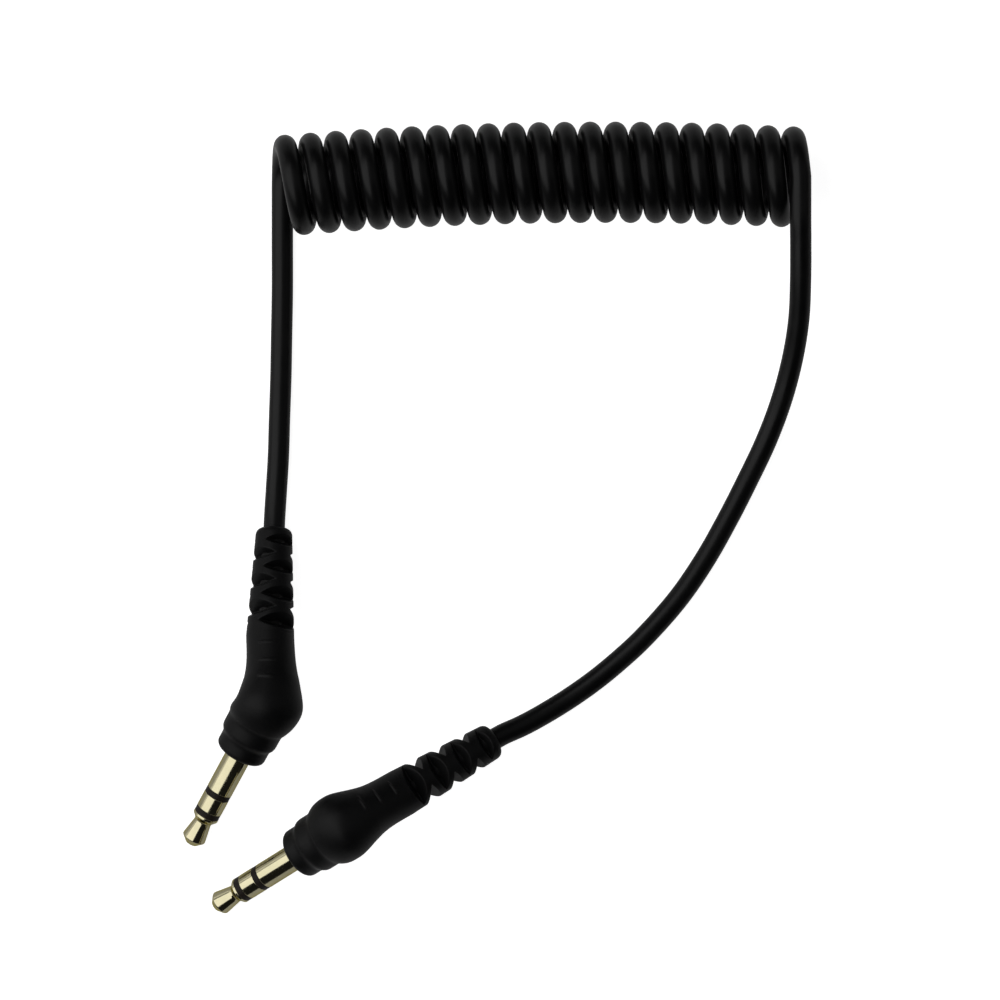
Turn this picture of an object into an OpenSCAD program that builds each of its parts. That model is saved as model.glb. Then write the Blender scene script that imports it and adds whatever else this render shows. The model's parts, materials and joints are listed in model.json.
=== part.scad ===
// Coiled patch cable with an angled 3.5 mm three-contact plug on each end, lying on a table.
// Millimetres, +Z up, +Y towards the coil, +X along it. The origin is on the table under the middle.

/* [Cable] */
// Outer diameter of the cable jacket
cable_d = 2.85; // [2.4:0.05:2.9]
// Diameter of one insulated core
core_d = 0.8; // [0.6:0.05:0.9]
// Diameter of the twisted shield wire
shield_d = 0.6; // [0.4:0.05:0.7]

/* [Coil] */
// Radius of the coil at the middle of the cable
coil_r = 5.3; // [4.8:0.1:6]
// Curls that show along the far side of the coil
curls = 21; // [12:1:24]
// Distance from one curl to the next
curl_pitch = 3.345; // [3.32:0.005:3.6]
// Radius of the slow bow of the coil's axis
bow_r = 500; // [300:10:2000]
// How far a curl leans along the coil at the left end
lean_left = 0.9; // [0:0.05:1]
// How far a curl leans along the coil at the right end
lean_right = 0.05; // [0:0.05:1]

/* [Boot] */
// Bend between the plug and its tail
bend = 45; // [38:1:50]
// From the bend to the front face of the boot
front_reach = 8.35; // [8:0.05:9]
// From the bend to the tail end of the strain relief
tail_reach = 23.7; // [22:0.1:26]
// Diameter of the front collar
collar_d = 6.85; // [6.4:0.05:7.2]
// Length of the front collar
collar_len = 2.5; // [2:0.1:2.8]
// Rounding of the front rim and of the tail end
rim_r = 0.7; // [0.4:0.05:0.9]
// Diameter of the stepped ring behind the collar
step_d = 7.75; // [7.4:0.05:8.2]
// Length of the stepped ring
step_len = 2.6; // [2:0.1:2.8]
// Thickness of the bulb in the plane of the bend
bulb_t = 8.3; // [8.1:0.05:9.2]
// Width of the bulb across the bend
bulb_w = 9.3; // [8.6:0.1:10.5]
// Where the bulb is thickest, in front of the bend
bulb_at = 0.4; // [0:0.1:1]
// How far the bulb stands towards the outside of the bend
bulb_out = 0.8; // [0.2:0.05:0.9]
// Rounding of the stepped ring's front edge
step_round = 0.4; // [0.2:0.05:0.5]
// Edge of the bulb above the stepped ring
bulb_edge = 0.12; // [0.05:0.01:0.3]

/* [Strain relief] */
// Length of the strain relief
relief_len = 14.8; // [13:0.1:15]
// Diameter of the strain relief where it leaves the boot
neck_d = 6.4; // [6:0.05:7]
// Diameter of the strain relief at its tail end
relief_end_d = 4.8; // [4.6:0.05:5.5]
// Distance from one slot to the next, which is turned by a quarter
slot_step = 1.88; // [1.8:0.01:2]
// Width of a V-shaped slot at its floor
slot_w = 0.15; // [0.1:0.05:0.4]
// Width of a slot at its mouth
slot_mouth = 2.4; // [2:0.05:2.6]
// Thickness of the web between two opposite slots, which are open down to the cable
web_t = 2.55; // [2.4:0.05:2.8]
// Slots from the tail end to the neck
slots = 7; // [3:1:7]

/* [Plug] */
// Diameter of the plug
plug_d = 3.5; // [3.4:0.01:3.6]
// From the front of the boot to the tip
plug_len = 14.5; // [14:0.1:15.5]
// From the front of the boot to the middle of the sleeve's insulating band
sleeve_len = 6.35; // [5.8:0.05:7]
// From the front of the boot to the middle of the tip's insulating band
ring_end = 9.4; // [9:0.05:10]
// Width of an insulating band
band_w = 0.8; // [0.5:0.05:0.9]
// How far a band lies below the metal
band_sunk = 0.01; // [0.005:0.005:0.015]
// Length of the tip's rear lip
lip_len = 0.4; // [0.3:0.05:0.6]
// Diameter of the tip's groove
groove_d = 2.4; // [2.2:0.05:2.6]
// From the band to the middle of the groove
groove_at = 1.15; // [1:0.05:1.4]
// Diameter of the tip's head
head_d = 3.2; // [2.9:0.05:3.4]
// Diameter of the flat at the end of the tip
nose_d = 1.5; // [1:0.1:2]
// Length of the tip's chamfered nose
nose_len = 0.9; // [0.6:0.05:1.2]

/* [Inside the plug] */
// Diameter of the tip's rod
rod_d = 0.9; // [0.7:0.05:1]
// Wall of the tip's insulating tube
tip_tube_wall = 0.33; // [0.3:0.01:0.35]
// Wall of the ring's tube
ring_tube_wall = 0.23; // [0.2:0.01:0.25]
// Wall of the ring's insulating tube
band_tube_wall = 0.28; // [0.25:0.01:0.29]
// Diameter of the sleeve's flange
flange_d = 5.2; // [4.9:0.05:5.3]
// Thickness of the sleeve's flange
flange_t = 0.8; // [0.5:0.05:1]
// How far the sleeve's neck inside the boot lies below the plug
neck_sunk = 0.18; // [0.16:0.01:0.2]
// Boot material in front of the flange
front_wall = 1.4; // [1:0.1:1.8]
// Length of the sleeve's barrel behind its flange
barrel_len = 1; // [0.6:0.1:1.4]
// Thickness of the contact lugs and their tabs
lug_t = 0.3; // [0.2:0.05:0.35]
// Width of the tabs
tab_w = 1.2; // [0.8:0.1:1.3]
// Thickness of the insulating washer between the lugs
washer_t = 0.5; // [0.3:0.05:0.6]
// How far an insulating tube stands out behind the piece round it
creep = 0.8; // [0.5:0.1:1]
// How far a peened end stands out behind its lug
peen = 0.2; // [0.15:0.05:0.3]
// Length of a solder joint
solder_len = 0.8; // [0.5:0.1:0.9]
// Outer diameter of the inner mould
mould_d = 5.5; // [5.4:0.05:5.6]
// Outer diameter of the inner mould along the tail
mould_tail_d = 4.8; // [4.6:0.05:5]
// Wall of the inner mould
mould_wall = 0.45; // [0.35:0.05:0.45]
// Length of the inner mould along the tail
mould_tail_len = 6.5; // [6:0.1:7]
// Thickness of the inner mould's rear wall
rear_wall = 1; // [0.6:0.1:1.2]
// How far the stripped jacket reaches into the inner mould
strip_in = 0.5; // [0.2:0.1:1]

/* [Fits] */
// Clearance between pieces that are pressed or crimped together
fit = 0.02; // [0.01:0.01:0.03]
// Clearance between the boot and what it is moulded round
mould_gap = 0.1; // [0.08:0.01:0.12]

/* [Hidden] */

round_fn = 48;
cut_fn = 24;
curl_rings = 8;
curl_sides = 6;
lead_sides = 8;
boot_sides = 24;
wire_sides = 8;

// The middle line of a plug rounds the bend over the first reach, and the boot's rings turn over the second
corner_reach = 0.9;
turn_reach = 3;

// Cable and coil
cable_r = cable_d / 2;
coil_left_x = -28.5;
bow_top = [14, 45.65];
coil_axis_z = coil_r + cable_r;
first_angle = -90;
last_angle = (curls - 1) * 360 + 90;
coil_turns = (last_angle - first_angle) / 360;

// Stations along the plug, from the bend towards the tip
front = front_reach;
tip_end = front + plug_len;
flange_back = front - front_wall - flange_t;
sleeve_rear = flange_back - barrel_len;
ring_band_rear = sleeve_rear - creep;
ring_lug_back = ring_band_rear - fit - lug_t;
ring_rear = ring_lug_back - peen;
washer_back = ring_rear - fit - washer_t;
tip_lug_back = washer_back - fit - lug_t;
rod_rear = tip_lug_back - peen;

// Radii of the nested contacts, from the middle out
plug_r = plug_d / 2;
rod_r = rod_d / 2;
tip_tube_r = rod_r + fit + tip_tube_wall;
ring_tube_r = tip_tube_r + fit + ring_tube_wall;
band_tube_r = ring_tube_r + fit + band_tube_wall;
band_r = plug_r - band_sunk;
neck_r = plug_r - neck_sunk;
chamber_r = mould_d / 2 - mould_wall;
tail_chamber_r = mould_tail_d / 2 - mould_wall;
barrel_r = chamber_r - fit;
elbow_bulge = 0.05;

// Washers and tabs behind the contacts, where each tab passes outside what lies behind it
washer_r = ring_tube_r + lug_t;
ring_tab_in = washer_r + fit;
ring_lug_r = ring_tab_in + lug_t;
tip_lug_r = washer_r - lug_t / 2;
tip_tab_in = tip_lug_r - lug_t;
sleeve_tab_in = sqrt(pow(barrel_r, 2) - pow(tab_w / 2, 2)) - lug_t - fit;

// Wires, from their solder joints to the stripped end of the jacket
core_r = core_d / 2;
shield_r = shield_d / 2;
jacket_end = mould_tail_len - rear_wall - strip_in;
ring_wire_y = ring_tab_in - core_r - fit;
tip_wire_y = -(tip_tab_in - core_r - fit);
shield_wire_x = -(sleeve_tab_in - shield_r - fit);
core_y = core_r + 0.15;
shield_off = -0.85;
wire_start = rod_rear - fit - solder_len;
wire_stations = [wire_start - fit, corner_reach, 0.45, 0, -0.45, -corner_reach, -2.5, 2 * fit - jacket_end];

// Boot
neck_at = relief_len - tail_reach;
bulb_front = front - collar_len - step_len;
bulb_front_d = step_d + 2 * bulb_edge;
first_slot = 1.9;

// How each plug lies: plan of the bend, direction of the plug, its dip and its roll
function resting_height(dip) = (tip_end - nose_len) * sin(dip) + head_d / 2 * cos(dip);
function plug_pose(plan, azimuth, dip, roll) = [[plan.x, plan.y, resting_height(dip)], azimuth, dip, roll];
left_pose = plug_pose([-30.35, -24.4], 241.4, 20.3, -37.5);
right_pose = plug_pose([-20.1, -40.7], 212.2, 27, 3.3);

// Free cable from the left strain relief to the coil, and from the right strain relief to the coil
left_route = [
    [-29.3, 3.5, 1.55], [-29.03, 8, 1.43], [-28.88, 13, 1.43], [-28.7, 18.5, 1.43],
    [-28.6, 24, 1.43], [-28.5, 30, 1.43], [-28.5, 36, 1.43]
];
right_route = [
    [3.1, -27.75, 2.95], [5.4, -26.55, 2.4], [9.3, -24.2, 1.75], [13, -21.6, 1.48], [16.4, -18.8, 1.43],
    [19.4, -16, 1.43], [24, -10.8, 1.43], [27.5, -5.7, 1.43], [30.5, -0.4, 1.45], [33.2, 4.9, 1.7],
    [35.7, 10.2, 2.4], [37.7, 15.6, 3.8], [39.1, 21, 5.8], [39.9, 26.2, 8], [40.1, 31.4, 10],
    [40.1, 36.7, 11.4]
];

function unit(v) = v / norm(v);
function mix(a, b, share) = a + (b - a) * share;
function ease(share) = (1 - cos(180 * share)) / 2;
function about_z(p, a) = [p.x * cos(a) - p.y * sin(a), p.x * sin(a) + p.y * cos(a), p.z];
function about_y(p, a) = [p.x * cos(a) + p.z * sin(a), p.y, p.z * cos(a) - p.x * sin(a)];
function on_table(p, pose) = pose[0] + about_z(about_y(about_z(p, pose[3]), 90 + pose[2]), pose[1]);

// Direction along a list of points
function direction(path, i) = unit(path[min(i + 1, len(path) - 1)] - path[max(i - 1, 0)]);

// One ring of a skin: centre, direction, radius along the reference and radius across it
function ring(station, ref, sides, turn) =
    let (along = station[1], n = unit(ref - (ref * along) * along), b = cross(along, n))
    [for (k = [0 : sides - 1])
        let (a = 360 * k / sides + turn)
        station[0] + station[2] * cos(a) * n + station[3] * sin(a) * b];

// A closed skin over rings, in triangles
module skin(stations, ref, sides, turn = 0) {
    last = (len(stations) - 1) * sides;
    points = [for (s = stations) each ring(s, ref, sides, turn)];
    walls = [for (i = [0 : len(stations) - 2], k = [0 : sides - 1])
        let (a = i * sides + k, b = i * sides + (k + 1) % sides)
        each [[a, a + sides, b + sides], [a, b + sides, b]]];
    caps = [for (k = [1 : sides - 2])
        each [[0, k, k + 1], [last, last + k + 1, last + k]]];
    polyhedron(points, concat(walls, caps), convexity = 10);
}

// A round tube along a list of points
module tube(path, r, ref, sides, turn = 0) {
    skin([for (i = [0 : len(path) - 1]) [path[i], direction(path, i), r, r]], ref, sides, turn);
}

// The bent middle line of a plug: s is the distance from the bend, towards the tip above zero
tail_way = [sin(bend), 0, -cos(bend)];
tip_way = [0, 0, 1];
function middle(s, reach) =
    let (u = (s + reach) / (2 * reach))
    s >= reach ? tip_way * s
    : s <= -reach ? tail_way * -s
    : reach * ((1 - u) * (1 - u) * tail_way + u * u * tip_way);
function middle_way(s, reach) =
    let (u = min(1, max(0, (s + reach) / (2 * reach))))
    unit(u * tip_way - (1 - u) * tail_way);

module lay(pose) {
    translate(pose[0])
        rotate([0, 90 + pose[2], pose[1]])
        rotate([0, 0, pose[3]])
        children();
}

// Turns a piece drawn along +Z to run along the tail
module along_tail() {
    rotate([0, 180 - bend, 0])
        children();
}

// Coil
function bow_y(x) = bow_top.y - pow(x - bow_top.x, 2) / (2 * bow_r);
function curl_point(a) =
    let (share = (a - first_angle) / (last_angle - first_angle))
    let (x = coil_left_x + curl_pitch * coil_turns * share)
    let (lean = mix(lean_left, lean_right, share) / 2)
    [x - lean * cos(a), bow_y(x) + coil_r * cos(a), coil_axis_z + coil_r * sin(a)];
curl_points = [for (i = [0 : coil_turns * curl_rings]) curl_point(first_angle + i * 360 / curl_rings)];
coil_left_end = curl_points[0] - [0, cable_d, 0];
coil_right_end = curl_points[len(curl_points) - 1] - [0, cable_d, 0];
coil_path = concat([coil_left_end], curl_points, [coil_right_end]);
curl_gap = min([for (i = [0 : len(coil_path) - 1], j = [i + curl_rings / 2 : len(coil_path) - 1])
    norm(coil_path[i] - coil_path[j])]) - cable_d;
echo(least_gap_between_curls = curl_gap);

module coil() {
    color([0.03, 0.03, 0.03])
        tube(coil_path, cable_r, [1, 0, 0], curl_sides, 30);
}

function relief_end(pose, beyond) = on_table(tail_way * (tail_reach + beyond), pose);

// The first and last stretch of a lead run straight out of what they meet
function lead_path(pose, route, coil_end) = concat(
    [relief_end(pose, 0), relief_end(pose, cable_r)], route, [coil_end - [0, cable_d, 0], coil_end]);

module lead(pose, route, coil_end) {
    color([0.03, 0.03, 0.03])
        tube(lead_path(pose, route, coil_end), cable_r, [0, 0, 1], lead_sides);
}

// Boot: each ring has a thickness in the bend, a width across it and a shift towards its outside
function relief_size(s) = mix(neck_d, relief_end_d, (neck_at - s) / relief_len);
function boot_ring(s, thick, wide, shift) =
    let (way = middle_way(s, turn_reach))
    [middle(s, corner_reach) - shift * [way.z, 0, -way.x], way, wide / 2, thick / 2];
function round_ring(s, size) = boot_ring(s, size, size, 0);
function bulb_rear(share) =
    let (swell = share * share)
    boot_ring(mix(neck_at, bulb_at, share), mix(neck_d, bulb_t, swell), mix(neck_d, bulb_w, ease(swell)),
        bulb_out * sin(90 * share));
function bulb_nose(share) =
    let (fall = pow(share, 3))
    boot_ring(mix(bulb_at, bulb_front, share), mix(bulb_t, bulb_front_d, fall),
        mix(bulb_w, bulb_front_d, fall), bulb_out * cos(90 * share));
boot_stations = concat(
    [round_ring(-tail_reach, relief_end_d - 2 * rim_r),
     round_ring(rim_r / 3 - tail_reach, relief_end_d - rim_r / 2),
     round_ring(rim_r - tail_reach, relief_size(rim_r - tail_reach))],
    [for (i = [0 : 8]) bulb_rear(i / 8)],
    [for (i = [1 : 4]) bulb_nose(i / 4)],
    [round_ring(bulb_front + bulb_edge, step_d), round_ring(front - collar_len - step_round, step_d),
     round_ring(front - collar_len - step_round / 4, step_d - step_round),
     round_ring(front - collar_len, collar_d), round_ring(front - rim_r, collar_d),
     round_ring(front - rim_r / 3, collar_d - rim_r / 2), round_ring(front, collar_d - 2 * rim_r)]);

// A pair of opposite slots across the strain relief, flared towards their mouths
module slot_pair() {
    floor_at = web_t / 2;
    flare = (slot_mouth - slot_w) / (neck_d / 2 - floor_at);
    half_mouth = (slot_w + flare * (neck_d - floor_at)) / 2;
    for (side = [0, 180])
        rotate([90, 0, 90 + side])
        linear_extrude(2 * neck_d, center = true)
        polygon([
            [floor_at, -slot_w / 2], [neck_d, -half_mouth],
            [neck_d, half_mouth], [floor_at, slot_w / 2]]);
}

module relief_slots() {
    for (i = [0 : slots - 1])
        translate([0, 0, tail_reach - first_slot - i * slot_step])
            rotate([0, 0, i % 2 == 0 ? 90 : 0])
            slot_pair();
}

// What the boot is moulded round, with its clearance
module boot_cavity() {
    translate([0, 0, flange_back + flange_t])
        cylinder(r = plug_r + mould_gap, h = plug_len, $fn = 2 * cut_fn);
    translate([0, 0, flange_back - mould_gap])
        cylinder(d = flange_d + 2 * mould_gap, h = flange_t + 2 * mould_gap, $fn = 2 * cut_fn);
    cylinder(d = mould_d + 2 * mould_gap, h = flange_back, $fn = 2 * cut_fn);
    sphere(r = mould_d / 2 + elbow_bulge + mould_gap, $fn = 2 * cut_fn);
    along_tail() {
        cylinder(d = mould_tail_d + 2 * mould_gap, h = mould_tail_len + mould_gap, $fn = 2 * cut_fn);
        cylinder(r = cable_r + mould_gap, h = tail_reach + plug_len, $fn = 2 * cut_fn);
    }
}

module boot(pose) {
    color([0.04, 0.04, 0.04])
        lay(pose)
        difference() {
            skin(boot_stations, [0, 1, 0], boot_sides);
            boot_cavity();
            along_tail()
                relief_slots();
        }
}

module inner_mould(pose) {
    color([0.85, 0.85, 0.8])
        lay(pose)
        difference() {
            union() {
                cylinder(d = mould_d, h = flange_back - fit, $fn = round_fn);
                sphere(r = mould_d / 2 + elbow_bulge, $fn = round_fn);
                along_tail()
                    cylinder(d = mould_tail_d, h = mould_tail_len, $fn = round_fn);
            }
            cylinder(r = chamber_r, h = front, $fn = round_fn);
            sphere(r = chamber_r + elbow_bulge, $fn = round_fn);
            along_tail() {
                cylinder(r = tail_chamber_r, h = mould_tail_len - rear_wall, $fn = round_fn);
                cylinder(r = cable_r + fit, h = tail_reach, $fn = round_fn);
            }
        }
}

// Contacts
module turned(pose, outline) {
    lay(pose)
        rotate_extrude($fn = round_fn)
        polygon(outline);
}

sleeve_end = front + sleeve_len - band_w / 2;
ring_front = front + ring_end - band_w / 2;
tip_back = ring_front + band_w;
gold = [0.86, 0.76, 0.55];

module tip_contact(pose) {
    color(gold)
        turned(pose, [
            [0, rod_rear], [rod_r, rod_rear], [rod_r, tip_back], [plug_r, tip_back],
            [plug_r, tip_back + lip_len], [groove_d / 2, tip_back + groove_at],
            [groove_d / 2, tip_back + groove_at + lip_len / 2], [head_d / 2, tip_end - nose_len],
            [nose_d / 2, tip_end], [0, tip_end]]);
}

module tip_insulator(pose) {
    color([0.06, 0.05, 0.04])
        turned(pose, [
            [rod_r + fit, ring_rear], [tip_tube_r, ring_rear], [tip_tube_r, ring_front + fit],
            [band_r, ring_front + fit], [band_r, tip_back - fit], [rod_r + fit, tip_back - fit]]);
}

module ring_contact(pose) {
    color(gold)
        turned(pose, [
            [tip_tube_r + fit, ring_rear], [ring_tube_r, ring_rear], [ring_tube_r, sleeve_end + band_w],
            [plug_r, sleeve_end + band_w], [plug_r, ring_front], [tip_tube_r + fit, ring_front]]);
}

module ring_insulator(pose) {
    color([0.06, 0.05, 0.04])
        turned(pose, [
            [ring_tube_r + fit, ring_band_rear], [band_tube_r, ring_band_rear],
            [band_tube_r, sleeve_end + fit], [band_r, sleeve_end + fit], [band_r, sleeve_end + band_w - fit],
            [ring_tube_r + fit, sleeve_end + band_w - fit]]);
}

// A flat tab that runs back from a lug, with its inner face at the given distance from the middle
module tab(inner_face, from, to) {
    translate([-tab_w / 2, inner_face, to])
        cube([tab_w, lug_t, from - to]);
}

module sleeve_contact(pose) {
    color(gold)
        turned(pose, [
            [band_tube_r + fit, sleeve_rear], [barrel_r, sleeve_rear], [barrel_r, flange_back],
            [flange_d / 2, flange_back], [flange_d / 2, flange_back + flange_t],
            [neck_r, flange_back + flange_t], [neck_r, front], [plug_r, front],
            [plug_r, sleeve_end], [band_tube_r + fit, sleeve_end]]);
    color(gold)
        lay(pose)
        rotate([0, 0, 90])
        tab(sleeve_tab_in, sleeve_rear + fit, wire_start);
}

module ring_lug(pose) {
    color(gold)
        lay(pose) {
            translate([0, 0, ring_lug_back])
                difference() {
                    cylinder(r = ring_lug_r, h = lug_t, $fn = round_fn);
                    cylinder(r = ring_tube_r + fit, h = 3 * lug_t, center = true, $fn = round_fn);
                }
            tab(ring_tab_in, ring_lug_back + lug_t / 2, wire_start);
        }
}

module rear_washer(pose) {
    color([0.8, 0.78, 0.7])
        lay(pose)
        translate([0, 0, washer_back])
        difference() {
            cylinder(r = washer_r, h = washer_t, $fn = round_fn);
            cylinder(r = rod_r + fit, h = 3 * washer_t, center = true, $fn = round_fn);
        }
}

module tip_lug(pose) {
    color(gold)
        lay(pose) {
            translate([0, 0, tip_lug_back])
                difference() {
                    cylinder(r = tip_lug_r, h = lug_t, $fn = round_fn);
                    cylinder(r = rod_r + fit, h = 3 * lug_t, center = true, $fn = round_fn);
                }
            rotate([0, 0, 180])
                tab(tip_tab_in, tip_lug_back + lug_t / 2, wire_start);
        }
}

// One bead of solder round each wire's end, on the inner face of its tab
module solder_joints(pose) {
    color([0.7, 0.7, 0.72])
        lay(pose)
        translate([0, 0, wire_start]) {
            translate([0, ring_wire_y, 0])
                cylinder(r = core_r, h = solder_len, $fn = round_fn);
            translate([0, tip_wire_y, 0])
                cylinder(r = core_r, h = solder_len, $fn = round_fn);
            translate([shield_wire_x, 0, 0])
                cylinder(r = shield_r, h = solder_len, $fn = round_fn);
        }
}

// A wire that leaves its joint beside the middle line and enters the jacket at another place beside it
function wire_path(start_in_bend, start_across, end_in_bend, end_across) =
    [for (s = wire_stations)
        let (share = ease(min(1, max(0, (wire_start - s) / (wire_start + jacket_end)))))
        let (way = middle_way(s, corner_reach))
        middle(s, corner_reach) + mix(start_in_bend, end_in_bend, share) * [way.z, 0, -way.x]
            + [0, mix(start_across, end_across, share), 0]];

module wire(pose, path, r) {
    lay(pose)
        tube(path, r, [0, 1, 0], wire_sides);
}

module tip_wire(pose) {
    color([0.7, 0.08, 0.06])
        wire(pose, wire_path(0, tip_wire_y, 0, -core_y), core_r);
}

module ring_wire(pose) {
    color([0.9, 0.9, 0.88])
        wire(pose, wire_path(0, ring_wire_y, 0, core_y), core_r);
}

module shield_wire(pose) {
    color([0.72, 0.45, 0.3])
        wire(pose, wire_path(shield_wire_x, 0, shield_off, 0), shield_r);
}

module cable_end(pose) {
    color([0.03, 0.03, 0.03])
        lay(pose)
        along_tail()
        translate([0, 0, jacket_end])
        cylinder(r = cable_r, h = tail_reach - jacket_end, $fn = round_fn);
}

lead(left_pose, left_route, coil_left_end);  // left_lead
coil();
lead(right_pose, right_route, coil_right_end);  // right_lead
boot(left_pose);  // left_boot
inner_mould(left_pose);  // left_inner_mould
tip_contact(left_pose);  // left_tip_contact
tip_insulator(left_pose);  // left_tip_insulator
ring_contact(left_pose);  // left_ring_contact
ring_insulator(left_pose);  // left_ring_insulator
sleeve_contact(left_pose);  // left_sleeve_contact
ring_lug(left_pose);  // left_ring_lug
rear_washer(left_pose);  // left_rear_washer
tip_lug(left_pose);  // left_tip_lug
solder_joints(left_pose);  // left_solder_joints
tip_wire(left_pose);  // left_tip_wire
ring_wire(left_pose);  // left_ring_wire
shield_wire(left_pose);  // left_shield_wire
cable_end(left_pose);  // left_cable_end
boot(right_pose);  // right_boot
inner_mould(right_pose);  // right_inner_mould
tip_contact(right_pose);  // right_tip_contact
tip_insulator(right_pose);  // right_tip_insulator
ring_contact(right_pose);  // right_ring_contact
ring_insulator(right_pose);  // right_ring_insulator
sleeve_contact(right_pose);  // right_sleeve_contact
ring_lug(right_pose);  // right_ring_lug
rear_washer(right_pose);  // right_rear_washer
tip_lug(right_pose);  // right_tip_lug
solder_joints(right_pose);  // right_solder_joints
tip_wire(right_pose);  // right_tip_wire
ring_wire(right_pose);  // right_ring_wire
shield_wire(right_pose);  // right_shield_wire
cable_end(right_pose);  // right_cable_end
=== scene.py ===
"""Dresses the coiled patch cable: the curled cable, its two angled boots and the gilt three-contact plugs."""
import json
import math

import bmesh
import bpy
import numpy as np
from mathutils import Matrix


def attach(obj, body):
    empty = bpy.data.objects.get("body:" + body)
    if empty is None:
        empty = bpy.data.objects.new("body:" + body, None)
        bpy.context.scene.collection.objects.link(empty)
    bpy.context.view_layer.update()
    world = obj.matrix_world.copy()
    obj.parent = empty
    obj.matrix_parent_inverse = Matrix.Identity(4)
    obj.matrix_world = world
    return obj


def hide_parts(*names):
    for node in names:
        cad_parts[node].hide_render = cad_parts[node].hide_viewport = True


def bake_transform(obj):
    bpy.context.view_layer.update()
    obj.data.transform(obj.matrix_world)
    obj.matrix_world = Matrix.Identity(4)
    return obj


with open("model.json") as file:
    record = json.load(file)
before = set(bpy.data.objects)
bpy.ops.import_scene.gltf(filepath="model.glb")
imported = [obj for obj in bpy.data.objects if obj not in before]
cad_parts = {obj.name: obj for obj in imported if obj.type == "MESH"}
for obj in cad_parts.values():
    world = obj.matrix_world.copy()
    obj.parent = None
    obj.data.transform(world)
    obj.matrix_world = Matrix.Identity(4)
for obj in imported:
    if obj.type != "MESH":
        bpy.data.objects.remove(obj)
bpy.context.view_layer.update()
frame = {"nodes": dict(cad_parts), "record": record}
MM = 0.001
UP = np.array([0.0, 0.0, 1.0])

# Sizes of the part in millimetres, as in its source
CABLE_R = 1.425
COIL_R = 5.3
CURL_PITCH = 3.345
COIL_TURNS = 20.5
COIL_LEFT_X = -28.5
BOW_TOP = (14.0, 45.65)
BOW_R = 500.0
LEAN = (0.9, 0.05)
BEND = math.radians(45)
FRONT, TAIL_REACH = 8.35, 23.7
PLUG_LEN, NOSE_LEN, HEAD_R = 14.5, 0.9, 1.6
# Place in plan, azimuth, dip and roll of each plug, angles in degrees
POSES = {
    "left": ((-30.35, -24.4), 241.4, 20.3, -37.5),
    "right": ((-20.1, -40.7), 212.2, 27.0, 3.3),
}
# The leads' routes, from the strain relief to the coil
LEFT_ROUTE = [
    (-29.3, 3.5, 1.55), (-29.03, 8, 1.43), (-28.88, 13, 1.43), (-28.7, 18.5, 1.43),
    (-28.6, 24, 1.43), (-28.5, 30, 1.43), (-28.5, 36, 1.43),
]
RIGHT_ROUTE = [
    (3.1, -27.75, 2.95), (5.4, -26.55, 2.4), (9.3, -24.2, 1.75), (13, -21.6, 1.48), (16.4, -18.8, 1.43),
    (19.4, -16, 1.43), (24, -10.8, 1.43), (27.5, -5.7, 1.43), (30.5, -0.4, 1.45), (33.2, 4.9, 1.7),
    (35.7, 10.2, 2.4), (37.7, 15.6, 3.8), (39.1, 21, 5.8), (39.9, 26.2, 8), (40.1, 31.4, 10),
    (40.1, 36.7, 11.4),
]


# Camera: straight above and far off, with a long lens
def add_camera():
    width, distance, mid_height = 132.45 * MM, 2.4, 5 * MM
    data = bpy.data.cameras.new("camera")
    data.sensor_width = 36
    data.lens = data.sensor_width * distance / width
    data.clip_start, data.clip_end = 0.1, 100
    camera = bpy.data.objects.new("camera", data)
    camera.location = (0.37 * MM, 2.27 * MM, distance + mid_height)
    bpy.context.scene.collection.objects.link(camera)
    bpy.context.scene.camera = camera


# Small helpers for meshes, all in millimetres
def unit(v):
    v = np.asarray(v, float)
    return v / np.linalg.norm(v)


def mix(a, b, share):
    return a + (b - a) * share


def ease(share):
    return (1 - math.cos(math.pi * share)) / 2


def add_mesh(name, points, faces, smooth=True):
    mesh = bpy.data.meshes.new(name)
    mesh.from_pydata((np.asarray(points) * MM).tolist(), [], faces)
    mesh.polygons.foreach_set("use_smooth", [smooth] * len(mesh.polygons))
    mesh.update()
    piece = bpy.data.objects.new(name, mesh)
    bpy.context.scene.collection.objects.link(piece)
    return piece


def ring_faces(rings, sides, closed_along=False):
    faces = []
    for i in range(rings if closed_along else rings - 1):
        a, b = i * sides, (i + 1) % rings * sides
        for k in range(sides):
            n = (k + 1) % sides
            faces.append((a + k, a + n, b + n, b + k))
    return faces


# Place of a plug: its own +Z runs to the tip, and +X lies on the inner side of the bend
def turn(axis, degrees):
    c, s = math.cos(math.radians(degrees)), math.sin(math.radians(degrees))
    if axis == "y":
        return np.array([[c, 0, s], [0, 1, 0], [-s, 0, c]])
    return np.array([[c, -s, 0], [s, c, 0], [0, 0, 1]])


def plug_place(side):
    plan, azimuth, dip, roll = POSES[side]
    d = math.radians(dip)
    height = (FRONT + PLUG_LEN - NOSE_LEN) * math.sin(d) + HEAD_R * math.cos(d)
    return turn("z", azimuth) @ turn("y", 90 + dip) @ turn("z", roll), np.array([*plan, height])


TIP_WAY = np.array([0.0, 0.0, 1.0])
TAIL_WAY = np.array([math.sin(BEND), 0.0, -math.cos(BEND)])


def middle(s, reach):
    """A point on a boot's middle line: s is positive on the tip's side of the bend, rounded within reach."""
    if abs(s) >= reach:
        return TIP_WAY * s if s > 0 else TAIL_WAY * -s
    u = (s + reach) / (2 * reach)
    return reach * ((1 - u) ** 2 * TAIL_WAY + u ** 2 * TIP_WAY)


def middle_way(s, reach):
    """The way that the middle line runs there, towards the tip."""
    u = min(1, max(0, (s + reach) / (2 * reach)))
    return unit(u * TIP_WAY - (1 - u) * TAIL_WAY)


# Cable: left lead, coil and right lead in one tube
CURL_STEPS = 984
LEAD_STEP = 0.5
CABLE_SIDES = 28


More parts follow.
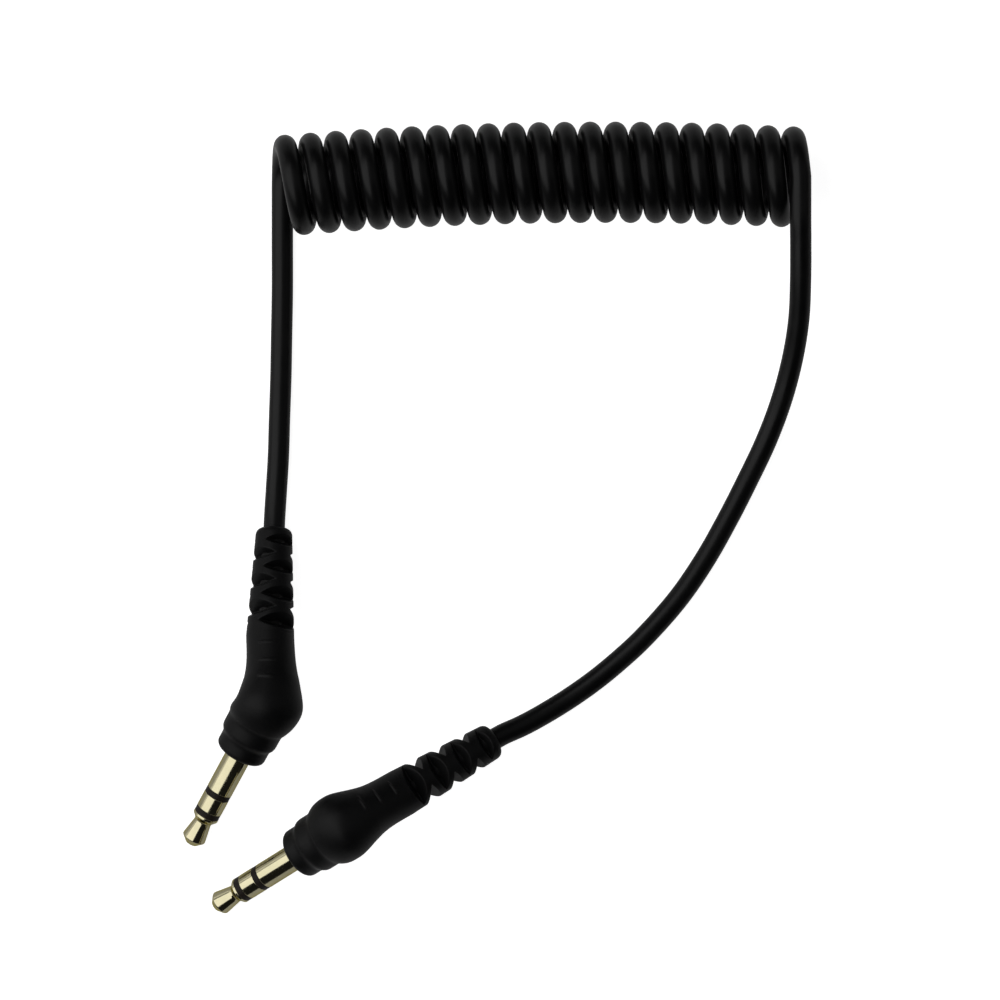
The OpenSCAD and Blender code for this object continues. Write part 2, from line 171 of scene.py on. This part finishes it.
def bow_y(x):
    return BOW_TOP[1] - (x - BOW_TOP[0]) ** 2 / (2 * BOW_R)


def curl_point(share):
    a = -math.pi / 2 + share * COIL_TURNS * 2 * math.pi
    x = COIL_LEFT_X + CURL_PITCH * COIL_TURNS * share
    lean = mix(*LEAN, share) / 2
    return (x - lean * math.cos(a), bow_y(x) + COIL_R * math.cos(a), COIL_R + CABLE_R + COIL_R * math.sin(a))


def smooth_route(points, step):
    """A smooth curve through the points, evenly spaced to about the given step."""
    p = np.asarray(points, float)
    knots = np.concatenate([[0], np.cumsum(np.linalg.norm(np.diff(p, axis=0), axis=1) ** 0.5)])
    slopes = np.gradient(p, knots, axis=0)
    out = []
    for i in range(len(p) - 1):
        h = knots[i + 1] - knots[i]
        n = max(2, int(np.linalg.norm(p[i + 1] - p[i]) / step))
        for t in np.arange(n) / n:
            out.append((2 * t ** 3 - 3 * t ** 2 + 1) * p[i] + (t ** 3 - 2 * t ** 2 + t) * h * slopes[i]
                       + (3 * t ** 2 - 2 * t ** 3) * p[i + 1] + (t ** 3 - t ** 2) * h * slopes[i + 1])
    return out


def lead_points(side, route, coil_end):
    rotation, origin = plug_place(side)
    start = [origin + rotation @ (TAIL_WAY * (TAIL_REACH + beyond)) for beyond in (-2, 0, CABLE_R)]
    back = np.array([0, 2 * CABLE_R, 0])
    return [*start, *map(np.array, route), coil_end - 2 * back, coil_end - back, np.array(coil_end)]


def cable_path():
    """Points of the cable's middle, and a weight for each that runs from 0 on the left lead through the coil
    to 1 on the right lead.
    """
    shares = [i / CURL_STEPS for i in range(CURL_STEPS + 1)]
    curls = [np.array(curl_point(share)) for share in shares]
    left = smooth_route(lead_points("left", LEFT_ROUTE, curls[0]), LEAD_STEP)
    right = smooth_route(lead_points("right", RIGHT_ROUTE, curls[-1]), LEAD_STEP)[::-1]
    weights = [0.0] * len(left) + shares + [1.0] * len(right)
    return np.array(left + curls + right), np.array(weights)


def tube(name, path, radius, sides):
    """A round tube with closed ends, its rings carried along the path without twist."""
    ways = np.gradient(path, axis=0)
    ways /= np.linalg.norm(ways, axis=1)[:, None]
    across = unit(np.cross(ways[0], UP))
    angles = np.arange(sides) * 2 * math.pi / sides
    points = []
    for p, way in zip(path, ways):
        across = unit(across - (across @ way) * way)
        other = np.cross(way, across)
        points += [p + radius * (math.cos(a) * across + math.sin(a) * other) for a in angles]
    faces = ring_faces(len(path), sides)
    last = (len(path) - 1) * sides
    faces += [tuple(range(sides))[::-1], tuple(range(last, last + sides))]
    return add_mesh(name, points, faces)


def add_cable():
    path, weights = cable_path()
    cable = tube("cable", path, CABLE_R, CABLE_SIDES)
    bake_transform(cable)
    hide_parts("left_lead", "coil", "right_lead")
    return cable


# Boot: collar, stepped ring, bulb and slotted strain relief in one skin round a bore
COLLAR_D, COLLAR_LEN, RIM_R = 6.85, 2.5, 0.7
STEP_D, STEP_LEN = 7.75, 2.6
BULB_T, BULB_W, BULB_AT, BULB_OUT, BULB_EDGE = 8.3, 9.3, 0.4, 0.8, 0.12
RELIEF_LEN, NECK_D, RELIEF_END_D = 14.8, 6.4, 4.8
SLOT_W, SLOT_MOUTH, WEB_T = 0.15, 2.4, 2.55
SLOTS, FIRST_SLOT, SLOT_STEP = 7, 1.9, 1.88
SLOT_EDGE, SLOT_SKIN = 0.1, 0.03
NECK_AT = RELIEF_LEN - TAIL_REACH
BULB_FRONT = FRONT - COLLAR_LEN - STEP_LEN
BOOT_SIDES = 96
HOLE_R, CABLE_HOLE_R = 1.85, 1.525
# The bore, as places along the middle line and radii
BORE = [
    (FRONT, HOLE_R), (FRONT - 1.3, HOLE_R), (FRONT - 1.3, 2.7), (FRONT - 2.25, 2.7), (FRONT - 2.3, 2.85),
    (-2.2, 2.85), (-2.6, 2.5), (-6.6, 2.5), (-6.6, CABLE_HOLE_R), (-TAIL_REACH, CABLE_HOLE_R),
]
RIB_PLACES = (2.6, 4.8, 7.35)
RIB_ANGLES = {"left": math.radians(136), "right": math.radians(108)}
RIB_H, RIB_W, RIB_REACH, RIB_FADE = 0.13, 0.12, 1.1, 0.1
# Spacing of the rings along the relief and the body, and how far the moulded steps are softened
RELIEF_RING, BODY_RING, SOFTENING = 0.045, 0.06, 0.42
# Reach of the bend for the middle of the skin, the turn of its rings, and the bore
SKIN_BEND, RING_BEND, BORE_BEND = 0.9, 3, 2


def relief_size(s):
    return mix(NECK_D, RELIEF_END_D, (NECK_AT - s) / RELIEF_LEN)


def boot_size(s):
    """Thickness in the bend, width across it and shift towards its outside, at a place along the boot."""
    if s <= NECK_AT:
        return relief_size(s), relief_size(s), 0.0
    if s <= BULB_AT:
        share = (s - NECK_AT) / (BULB_AT - NECK_AT)
        swell = share * share
        shift = BULB_OUT * math.sin(math.pi / 2 * share)
        return mix(NECK_D, BULB_T, swell), mix(NECK_D, BULB_W, ease(swell)), shift
    if s <= BULB_FRONT:
        share = (s - BULB_AT) / (BULB_FRONT - BULB_AT)
        edge = STEP_D + 2 * BULB_EDGE
        shift = BULB_OUT * math.cos(math.pi / 2 * share)
        return mix(BULB_T, edge, share ** 3), mix(BULB_W, edge, share ** 3), shift
    size = STEP_D if s <= FRONT - COLLAR_LEN else COLLAR_D
    return size, size, 0.0


def soft_min(a, b, k):
    """The smaller of the two, with the corner between them rounded over about k."""
    h = np.clip(0.5 + 0.5 * (b - a) / k, 0, 1)
    return b + (a - b) * h - k * h * (1 - h)


def relief_cut(s, r, angles):
    """The radius round one ring of the strain relief, less the flared slots that it crosses."""
    steepness = (NECK_D - WEB_T) / (SLOT_MOUTH - SLOT_W)
    r = np.full(len(angles), r)
    for i in range(SLOTS):
        off = abs(s + TAIL_REACH - FIRST_SLOT - i * SLOT_STEP)
        floor = WEB_T / 2 + steepness * max(0, off - SLOT_W / 2)
        facing = np.abs(np.sin(angles) if i % 2 == 0 else np.cos(angles))
        r = soft_min(r, floor / np.maximum(facing, 0.02), SLOT_EDGE)
    return np.maximum(r, CABLE_HOLE_R + SLOT_SKIN)


def rib_height(s, away):
    """Height of the short fine ribs on the neck, from the distance round it to the middle of their row."""
    along = sum(math.exp(-((s + place) / RIB_W) ** 2) for place in RIB_PLACES)
    return RIB_H * along / (1 + np.exp((away - RIB_REACH) / RIB_FADE))


def boot_outline():
    """Rings of the boot from its tail end to its front rim, with soft moulded steps."""
    relief = np.arange(RIM_R - TAIL_REACH, NECK_AT, RELIEF_RING)
    body = np.arange(NECK_AT, FRONT - RIM_R + 0.001, BODY_RING)
    fine = np.arange(NECK_AT - 1, FRONT + 1, BODY_RING)
    blur = np.exp(-(np.arange(-16, 17) * BODY_RING / SOFTENING) ** 2)
    sizes = np.array([boot_size(s) for s in fine])
    soft = np.array([np.convolve(column, blur / blur.sum(), "same") for column in sizes.T])
    rounds = np.linspace(0, math.pi / 2, 9)
    tail_r, front_r = RELIEF_END_D / 2 - RIM_R, COLLAR_D / 2 - RIM_R
    tail = [(-TAIL_REACH + RIM_R * (1 - math.sin(q)), 2 * (tail_r + RIM_R * math.cos(q)))
            for q in rounds[::-1]]
    rim = [(FRONT - RIM_R + RIM_R * math.sin(q), 2 * (front_r + RIM_R * math.cos(q)))
           for q in rounds[1:]]
    rings = [(-TAIL_REACH, 2 * CABLE_HOLE_R + 0.3, 2 * CABLE_HOLE_R + 0.3, 0.0)]
    rings += [(s, size, size, 0.0) for s, size in tail[:-1]]
    rings += [(s, relief_size(s), relief_size(s), 0.0) for s in relief]
    rings += [(s, *(float(np.interp(s, fine, column)) for column in soft)) for s in body]
    rings += [(s, size, size, 0.0) for s, size in rim]
    rings += [(FRONT, 2 * HOLE_R + size, 2 * HOLE_R + size, 0.0) for size in (0.5, 0.25)]
    return rings


def add_boot(side):
    rotation, origin = plug_place(side)
    angles = np.arange(BOOT_SIDES) * 2 * math.pi / BOOT_SIDES
    across = np.array([0.0, 1.0, 0.0])

    def ring(centre, outward, wide_r, thick_r):
        return (centre + np.outer(wide_r * np.cos(angles), across)
                + np.outer(thick_r * np.sin(angles), outward))

    points = []
    for s, thick, wide, shift in boot_outline():
        outward = np.cross(middle_way(s, RING_BEND), across)
        centre = middle(s, SKIN_BEND) + shift * outward
        if RIM_R - TAIL_REACH < s < NECK_AT:
            r = relief_cut(s, thick / 2, angles)
            points.append(ring(centre, outward, r, r))
        else:
            rib = rib_height(s, np.abs(angles - RIB_ANGLES[side]) * wide / 2)
            points.append(ring(centre, outward, wide / 2 + rib, thick / 2 + rib))
    for s, r in BORE:
        outward = np.cross(middle_way(s, BORE_BEND), across)
        points.append(ring(middle(s, BORE_BEND), outward, r, r))
    placed = np.concatenate(points) @ rotation.T + origin
    boot = add_mesh(f"{side}_boot_skin", placed, ring_faces(len(points), BOOT_SIDES, True))
    face_outward(boot)
    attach(boot, f"{side}_end")
    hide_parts(f"{side}_boot")
    return boot


def face_outward(piece):
    b = bmesh.new()
    b.from_mesh(piece.data)
    bmesh.ops.recalc_face_normals(b, faces=b.faces)
    b.to_mesh(piece.data)
    b.free()


# Plug: turned contacts and moulded bands with softened edges
PLUG_R, ROD_R, BAND_W, FIT = 1.75, 0.45, 0.8, 0.02
BAND_R = PLUG_R - FIT
SLEEVE_END = FRONT + 6.35 - BAND_W / 2
RING_FRONT = FRONT + 9.4 - BAND_W / 2
TIP_BACK = RING_FRONT + BAND_W
TIP_END = FRONT + PLUG_LEN
TURNED_SIDES = 96
# How near to the ends of a long run its added points lie
BRACE = 0.03


def arc(centre_r, centre_s, radius, start, end, n=6):
    """Points of a rounded corner in the outline, angles in degrees from straight out towards the tip."""
    return [(centre_r + radius * math.cos(math.radians(a)), centre_s + radius * math.sin(math.radians(a)))
            for a in np.linspace(start, end, n)]


def braced(outline):
    """The outline with added points close to the ends of its long runs, so that these runs shade straight."""
    points = []
    for (r0, s0), (r1, s1) in zip(outline, outline[1:]):
        points.append((r0, s0))
        run = math.hypot(r1 - r0, s1 - s0)
        if run > 8 * BRACE:
            points += [(mix(r0, r1, share), mix(s0, s1, share)) for share in (BRACE / run, 1 - BRACE / run)]
    return [*points, outline[-1]]


def add_turned(side, name, outline, node):
    rotation, origin = plug_place(side)
    outline = braced(outline)
    angles = np.arange(TURNED_SIDES) * 2 * math.pi / TURNED_SIDES
    circle = np.stack([np.cos(angles), np.sin(angles), np.zeros(TURNED_SIDES)], 1)
    rings = [max(r, 0.01) * circle + s * UP for r, s in outline]
    piece = add_mesh(f"{side}_{name}", np.concatenate(rings) @ rotation.T + origin,
                     ring_faces(len(rings), TURNED_SIDES, True))
    face_outward(piece)
    piece.data.set_sharp_from_angle(angle=math.radians(40))
    along = np.repeat([s for _, s in outline], TURNED_SIDES).astype(np.float32)
    piece.data.attributes.new("along", "FLOAT", "POINT").data.foreach_set("value", along)
    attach(piece, f"{side}_end")
    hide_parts(f"{side}_{node}")
    return piece


def add_contacts(side):
    rod_rear, ring_rear, band_rear = FRONT - 5.14, FRONT - 4.52, FRONT - 4
    barrel_rear, flange_rear, flange_front = FRONT - 3.2, FRONT - 2.2, FRONT - 1.4
    groove_r, groove_s, groove_round = 1.2, TIP_BACK + 1.15, 0.25
    ring_back = SLEEVE_END + BAND_W
    edge, lip_round = 0.07, 0.12
    tip = [
        (0, rod_rear), (ROD_R, rod_rear), (ROD_R, TIP_BACK),
        *arc(PLUG_R - edge, TIP_BACK + edge, edge, -90, 0),
        *arc(PLUG_R - lip_round, TIP_BACK + 0.32, lip_round, 0, 40),
        *arc(groove_r + groove_round, groove_s - 0.05, groove_round, 220, 180, 5),
        *arc(groove_r + groove_round, groove_s + 0.2, groove_round, 180, 176, 3),
        *arc(HEAD_R - 0.3, TIP_END - 0.95, 0.3, -6, 45, 8),
        *arc(0.72, TIP_END - 0.16, 0.16, 42, 90, 5), (0, TIP_END),
    ]
    ring = [
        (0.82, ring_rear), (1.05, ring_rear), (1.05, ring_back),
        *arc(PLUG_R - edge, ring_back + edge, edge, -90, 0),
        *arc(PLUG_R - edge, RING_FRONT - edge, edge, 0, 90), (0.82, RING_FRONT),
    ]
    sleeve = [
        (1.37, barrel_rear), (2.28, barrel_rear), (2.28, flange_rear), (2.6, flange_rear),
        (2.6, flange_front), (1.57, flange_front), (1.57, FRONT), (PLUG_R, FRONT),
        *arc(PLUG_R - edge, SLEEVE_END - edge, edge, 0, 90), (1.37, SLEEVE_END),
    ]
    tip_band = [
        (ROD_R + FIT, ring_rear), (0.8, ring_rear), (0.8, RING_FRONT + FIT), (BAND_R, RING_FRONT + FIT),
        (BAND_R, TIP_BACK - FIT), (ROD_R + FIT, TIP_BACK - FIT),
    ]
    ring_band = [
        (1.07, band_rear), (1.35, band_rear), (1.35, SLEEVE_END + FIT), (BAND_R, SLEEVE_END + FIT),
        (BAND_R, ring_back - FIT), (1.07, ring_back - FIT),
    ]
    return {
        "gilt": [add_turned(side, "tip_turned", tip, "tip_contact"),
                 add_turned(side, "ring_turned", ring, "ring_contact"),
                 add_turned(side, "sleeve_turned", sleeve, "sleeve_contact")],
        "band": [add_turned(side, "tip_band", tip_band, "tip_insulator"),
                 add_turned(side, "ring_band", ring_band, "ring_insulator")],
    }


# Materials
def new_material(name):
    material = bpy.data.materials.new(name)
    material.use_nodes = True
    nodes = material.node_tree.nodes
    return material, nodes, material.node_tree.links, nodes["Principled BSDF"]


def grain(nodes, links, scale, detail):
    """Noise in the object's own space, in marks per metre."""
    coords = nodes.new("ShaderNodeTexCoord")
    noise = nodes.new("ShaderNodeTexNoise")
    noise.inputs["Scale"].default_value = scale
    noise.inputs["Detail"].default_value = detail
    links.new(coords.outputs["Object"], noise.inputs["Vector"])
    return noise.outputs["Fac"]


def spread(nodes, links, value, low, high):
    """Maps noise onto a range of numbers."""
    node = nodes.new("ShaderNodeMapRange")
    node.inputs["From Min"].default_value = 0.3
    node.inputs["From Max"].default_value = 0.7
    node.inputs["To Min"].default_value = low
    node.inputs["To Max"].default_value = high
    links.new(value, node.inputs["Value"])
    return node.outputs["Result"]


def shades(nodes, links, value, dark, light):
    """Maps noise onto a range of colours."""
    node = nodes.new("ShaderNodeValToRGB")
    node.color_ramp.elements[0].position, node.color_ramp.elements[1].position = 0.3, 0.7
    node.color_ramp.elements[0].color = (*dark, 1)
    node.color_ramp.elements[1].color = (*light, 1)
    links.new(value, node.inputs["Fac"])
    return node.outputs["Color"]


def bump(nodes, links, shader, height, strength, distance):
    node = nodes.new("ShaderNodeBump")
    node.inputs["Strength"].default_value = strength
    node.inputs["Distance"].default_value = distance
    links.new(height, node.inputs["Height"])
    links.new(node.outputs["Normal"], shader.inputs["Normal"])


def moulded(name, dark, light, rough, ior, grain_scale, grain_depth):
    """A moulded or extruded plastic: slight cloudiness, uneven gloss and a fine grain."""
    material, nodes, links, shader = new_material(name)
    cloud = grain(nodes, links, 260, 3)
    fine = grain(nodes, links, grain_scale, 2)
    links.new(shades(nodes, links, cloud, dark, light), shader.inputs["Base Color"])
    links.new(spread(nodes, links, cloud, *rough), shader.inputs["Roughness"])
    shader.inputs["IOR"].default_value = ior
    bump(nodes, links, shader, fine, 0.35, grain_depth)
    return material


def metal(name, dark, light, edge, rough, turned):
    """Plated or bare metal; turned pieces have fine rings round their axis."""
    material, nodes, links, shader = new_material(name)
    cloud = grain(nodes, links, 700, 3)
    links.new(shades(nodes, links, cloud, dark, light), shader.inputs["Base Color"])
    links.new(spread(nodes, links, cloud, *rough), shader.inputs["Roughness"])
    shader.inputs["Metallic"].default_value = 1
    shader.inputs["Specular Tint"].default_value = (*edge, 1)
    if turned:
        along = nodes.new("ShaderNodeAttribute")
        along.attribute_name = "along"
        rings = nodes.new("ShaderNodeTexNoise")
        rings.noise_dimensions = "1D"
        rings.inputs["Scale"].default_value = 14
        rings.inputs["Detail"].default_value = 4
        links.new(along.outputs["Fac"], rings.inputs["W"])
        bump(nodes, links, shader, rings.outputs["Fac"], 0.25, 2e-6)
    else:
        bump(nodes, links, shader, grain(nodes, links, 5000, 2), 0.2, 5e-6)
    return material


BLACK, SOFT_BLACK = (0.0026, 0.0026, 0.0028), (0.0038, 0.0038, 0.004)
MATERIALS = {
    "jacket": moulded("jacket", BLACK, SOFT_BLACK, (0.3, 0.38), 1.245, 3200, 8e-6),
    "boot": moulded("boot", BLACK, SOFT_BLACK, (0.42, 0.5), 1.22, 5200, 1.6e-5),
    "band": moulded("band", (0.012, 0.009, 0.007), (0.02, 0.016, 0.013), (0.4, 0.5), 1.2, 4000, 8e-6),
    "inner_mould": moulded("inner_mould", (0.7, 0.69, 0.64), (0.8, 0.79, 0.75), (0.45, 0.55),
                           1.5, 3000, 1.5e-5),
    "washer": moulded("washer", (0.68, 0.64, 0.54), (0.76, 0.73, 0.63), (0.45, 0.55), 1.5, 3000, 1e-5),
    "core_red": moulded("core_red", (0.5, 0.03, 0.022), (0.62, 0.045, 0.035), (0.3, 0.4), 1.5, 3000, 6e-6),
    "core_white": moulded("core_white", (0.78, 0.78, 0.75), (0.86, 0.86, 0.83), (0.3, 0.4), 1.5, 3000, 6e-6),
    "gilt": metal("gilt", (0.43, 0.4, 0.26), (0.48, 0.44, 0.29), (0.72, 0.66, 0.34), (0.08, 0.13), True),
    "solder": metal("solder", (0.52, 0.52, 0.54), (0.66, 0.66, 0.68), (0.95, 0.95, 0.96), (0.2, 0.35), False),
    "copper": metal("copper", (0.66, 0.37, 0.24), (0.76, 0.46, 0.3), (0.9, 0.7, 0.55), (0.25, 0.4), False),
}


def dress(piece, slot):
    piece.data.materials.clear()
    piece.data.materials.append(MATERIALS[slot])


def dress_frame():
    slots = {sub["node"]: sub["material_slot"] for sub in frame["record"]["subparts"]}
    for name, node in frame["nodes"].items():
        for place in node.material_slots:
            place.material = MATERIALS[slots[name]]


# Floor, lamps and world
CAMERA_GLOW, MIRROR_GLOW = 0.92, 0.16


def add_floor():
    """A pale floor that the camera sees as white, and that shows a little brighter in mirrors."""
    half = 40.0
    mesh = bpy.data.meshes.new("floor")
    corners = [(-half, -half, 0), (half, -half, 0), (half, half, 0), (-half, half, 0)]
    mesh.from_pydata(corners, [], [(0, 1, 2, 3)])
    floor = bpy.data.objects.new("floor", mesh)
    floor.location.z = -0.00002
    bpy.context.scene.collection.objects.link(floor)
    material, nodes, links, shader = new_material("floor")
    shader.inputs["Roughness"].default_value = 0.9
    shader.inputs["Specular IOR Level"].default_value = 0
    shader.inputs["Base Color"].default_value = (0.6, 0.6, 0.6, 1)
    path = nodes.new("ShaderNodeLightPath")
    mirrored = nodes.new("ShaderNodeMath")
    mirrored.operation = "MAXIMUM"
    links.new(path.outputs["Is Glossy Ray"], mirrored.inputs[0])
    links.new(path.outputs["Is Transmission Ray"], mirrored.inputs[1])
    dimmed = nodes.new("ShaderNodeMath")
    dimmed.operation = "MULTIPLY"
    dimmed.inputs[1].default_value = MIRROR_GLOW
    links.new(mirrored.outputs[0], dimmed.inputs[0])
    glow = nodes.new("ShaderNodeMath")
    glow.operation = "MULTIPLY_ADD"
    glow.inputs[1].default_value = CAMERA_GLOW
    links.new(path.outputs["Is Camera Ray"], glow.inputs[0])
    links.new(dimmed.outputs[0], glow.inputs[2])
    shader.inputs["Emission Color"].default_value = (1, 1, 1, 1)
    links.new(glow.outputs[0], shader.inputs["Emission Strength"])
    mesh.materials.append(material)


def add_softbox(name, place, tilt, width, depth, radiance):
    """A broad lamp that faces straight down, or is tilted about +Y by the given degrees."""
    data = bpy.data.lights.new(name, "AREA")
    data.shape = "RECTANGLE"
    data.size, data.size_y = width, depth
    data.energy = radiance * math.pi * width * depth
    lamp = bpy.data.objects.new(name, data)
    lamp.location = place
    lamp.rotation_euler.y = math.radians(tilt)
    lamp.visible_camera = False
    bpy.context.scene.collection.objects.link(lamp)


def add_world():
    """Dim overhead and brighter towards the horizon."""
    world = bpy.data.worlds.new("world")
    bpy.context.scene.world = world
    world.use_nodes = True
    nodes, links = world.node_tree.nodes, world.node_tree.links
    coords = nodes.new("ShaderNodeTexCoord")
    parts = nodes.new("ShaderNodeSeparateXYZ")
    ramp = nodes.new("ShaderNodeValToRGB")
    for element, position, level in zip(ramp.color_ramp.elements, (0.0, 0.14), (0.07, 0.015)):
        element.position = position
        element.color = (level, level, level, 1)
    links.new(coords.outputs["Generated"], parts.inputs[0])
    links.new(parts.outputs["Z"], ramp.inputs["Fac"])
    links.new(ramp.outputs["Color"], nodes["Background"].inputs["Color"])


add_camera()
cable = add_cable()
dress(cable, "jacket")
dress_frame()
for side in POSES:
    dress(add_boot(side), "boot")
    for slot, pieces in add_contacts(side).items():
        for piece in pieces:
            dress(piece, slot)
add_floor()
add_softbox("overhead", (-2.9, 0.1, 1.2), 0, 5.4, 2.2, 1.8)
add_softbox("left_panel", (-4.0, 1.1, 0.44), -90, 0.84, 3.0, 1.0)
add_softbox("rear_panel", (-4.0, 3.1, 1.1), -90, 2.0, 1.0, 1.0)
add_softbox("right_panel", (3.0, 0.4, 1.2), 90, 2.0, 5.0, 0.1)
add_softbox("right_overhead", (1.1, 0.6, 1.2), 0, 2.6, 1.4, 0.2)
add_world()
bpy.context.scene.view_settings.view_transform = "Standard"
